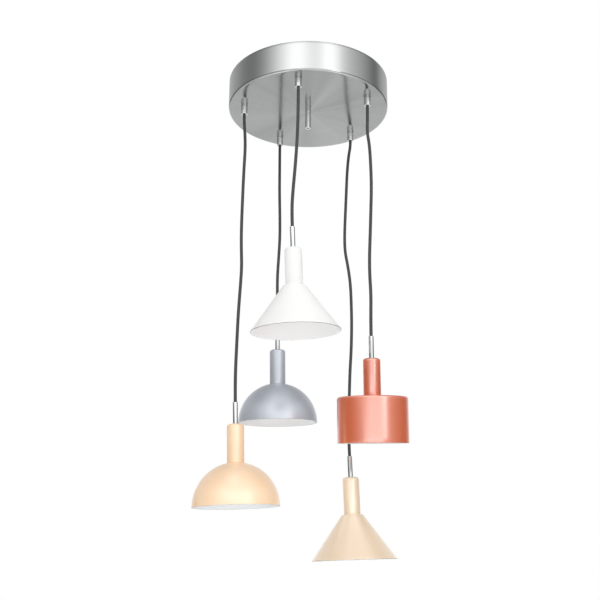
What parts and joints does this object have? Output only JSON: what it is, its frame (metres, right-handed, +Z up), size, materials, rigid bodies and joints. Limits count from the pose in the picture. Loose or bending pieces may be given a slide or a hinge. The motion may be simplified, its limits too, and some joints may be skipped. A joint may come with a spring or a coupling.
{
  "type": "cluster pendant ceiling light",
  "caption": "Ceiling light: a round brushed steel canopy with painted metal shades hanging below it on textile cords at staggered heights.",
  "frame": {"origin": "centre of the face that lies against the ceiling", "axes": "+Z up, towards the ceiling; the gland of the pendant with the shortest cord is on -Y"},
  "size_m": [0.4164, 0.4255, 1.0186],
  "materials": {
    "brushed_steel": "circular brushed",
    "zinc_plate": "zinc plated",
    "chrome": "polished",
    "nickel": "bright",
    "clear_plastic": "milky",
    "white_plastic": "satin",
    "opal_glass": "opal",
    "cord_textile": "braided",
    "paint_white": "smooth white paint",
    "paint_peach": "smooth apricot paint",
    "paint_grey": "smooth cool grey paint",
    "paint_sand": "smooth sand paint",
    "paint_copper": "satin terracotta paint"
  },
  "bodies": {
    "canopy": {"ceiling_bracket": "zinc_plate", "earth_tag": "zinc_plate", "earth_screw": "zinc_plate", "hanger_rod": "zinc_plate", "rod_nut": "zinc_plate", "canopy_cover": "brushed_steel", "centre_post": "chrome", "terminal_block": "clear_plastic", "terminal_screws": "zinc_plate", "gland_nuts": "chrome", "gland_screws": "chrome", "cord_tails": "cord_textile", "gland_white": "chrome", "gland_peach": "chrome", "gland_grey": "chrome", "gland_sand": "chrome", "gland_copper": "chrome"},
    "cord_white": {"cord_white": "cord_textile"},
    "pendant_white": {"cord_grip_white": "chrome", "stem_cup_white": "paint_white", "shade_white": "paint_white", "lampholder_white": "white_plastic", "shade_ring_white": "white_plastic"},
    "bulb_white": {"bulb_cap_white": "nickel", "bulb_globe_white": "opal_glass"},
    "cord_peach": {"cord_peach": "cord_textile"},
    "pendant_peach": {"cord_grip_peach": "chrome", "stem_cup_peach": "paint_peach", "shade_peach": "paint_peach", "lampholder_peach": "white_plastic", "shade_ring_peach": "white_plastic"},
    "bulb_peach": {"bulb_cap_peach": "nickel", "bulb_globe_peach": "opal_glass"},
    "cord_grey": {"cord_grey": "cord_textile"},
    "pendant_grey": {"cord_grip_grey": "chrome", "stem_cup_grey": "paint_grey", "shade_grey": "paint_grey", "lampholder_grey": "white_plastic", "shade_ring_grey": "white_plastic"},
    "bulb_grey": {"bulb_cap_grey": "nickel", "bulb_globe_grey": "opal_glass"},
    "cord_sand": {"cord_sand": "cord_textile"},
    "pendant_sand": {"cord_grip_sand": "chrome", "stem_cup_sand": "paint_sand", "shade_sand": "paint_sand", "lampholder_sand": "white_plastic", "shade_ring_sand": "white_plastic"},
    "bulb_sand": {"bulb_cap_sand": "nickel", "bulb_globe_sand": "opal_glass"},
    "cord_copper": {"cord_copper": "cord_textile"},
    "pendant_copper": {"cord_grip_copper": "chrome", "stem_cup_copper": "paint_copper", "shade_copper": "paint_copper", "lampholder_copper": "white_plastic", "shade_ring_copper": "white_plastic"},
    "bulb_copper": {"bulb_cap_copper": "nickel", "bulb_globe_copper": "opal_glass"}
  },
  "joints": [
    {"name": "swing_white", "type": "hinge", "parent": "canopy", "child": "cord_white", "pos_m": [0, -0.141, -0.085], "axis": [-1, 0, 0], "range_deg": [-4, 15]},
    {"name": "height_white", "type": "slide", "parent": "cord_white", "child": "pendant_white", "axis": [0, 0, 1], "range_m": [0, 0.1], "deforming": ["cord_white"]},
    {"name": "bulb_white_turn", "type": "hinge", "parent": "pendant_white", "child": "bulb_white", "pos_m": [-0.0085, -0.149, -0.3935], "axis": [0.0332, 0.0512, -0.9981], "range_deg": [0, 360]},
    {"name": "swing_peach", "type": "hinge", "parent": "canopy", "child": "cord_peach", "pos_m": [-0.1341, -0.04357, -0.085], "axis": [-0.309, 0.9511, 0], "range_deg": [-4, 15]},
    {"name": "height_peach", "type": "slide", "parent": "cord_peach", "child": "pendant_peach", "axis": [0, 0, 1], "range_m": [0, 0.1], "deforming": ["cord_peach"]},
    {"name": "bulb_peach_turn", "type": "hinge", "parent": "pendant_peach", "child": "bulb_peach", "pos_m": [-0.1366, -0.04257, -0.7165], "axis": [0.0363, -0.0051, -0.9993], "range_deg": [0, 360]},
    {"name": "swing_grey", "type": "hinge", "parent": "canopy", "child": "cord_grey", "pos_m": [-0.08288, 0.11407, -0.085], "axis": [0.809, 0.5878, 0], "range_deg": [-4, 15]},
    {"name": "height_grey", "type": "slide", "parent": "cord_grey", "child": "pendant_grey", "axis": [0, 0, 1], "range_m": [0, 0.1], "deforming": ["cord_grey"]},
    {"name": "bulb_grey_turn", "type": "hinge", "parent": "pendant_grey", "child": "bulb_grey", "pos_m": [-0.08138, 0.10857, -0.5345], "axis": [0.0104, 0.0388, -0.9992], "range_deg": [0, 360]},
    {"name": "swing_sand", "type": "hinge", "parent": "canopy", "child": "cord_sand", "pos_m": [0.08288, 0.11407, -0.085], "axis": [0.809, -0.5878, 0], "range_deg": [-4, 15]},
    {"name": "height_sand", "type": "slide", "parent": "cord_sand", "child": "pendant_sand", "axis": [0, 0, 1], "range_m": [0, 0.1], "deforming": ["cord_sand"]},
    {"name": "bulb_sand_turn", "type": "hinge", "parent": "pendant_sand", "child": "bulb_sand", "pos_m": [0.07388, 0.11607, -0.8075], "axis": [0.0402, -0.017, -0.999], "range_deg": [0, 360]},
    {"name": "swing_copper", "type": "hinge", "parent": "canopy", "child": "cord_copper", "pos_m": [0.1341, -0.04357, -0.085], "axis": [-0.309, -0.9511, 0], "range_deg": [-4, 15]},
    {"name": "height_copper", "type": "slide", "parent": "cord_copper", "child": "pendant_copper", "axis": [0, 0, 1], "range_m": [0, 0.1], "deforming": ["cord_copper"]},
    {"name": "bulb_copper_turn", "type": "hinge", "parent": "pendant_copper", "child": "bulb_copper", "pos_m": [0.1346, -0.05957, -0.5945], "axis": [-0.0036, 0.1045, -0.9945], "range_deg": [0, 360]}
  ]
}
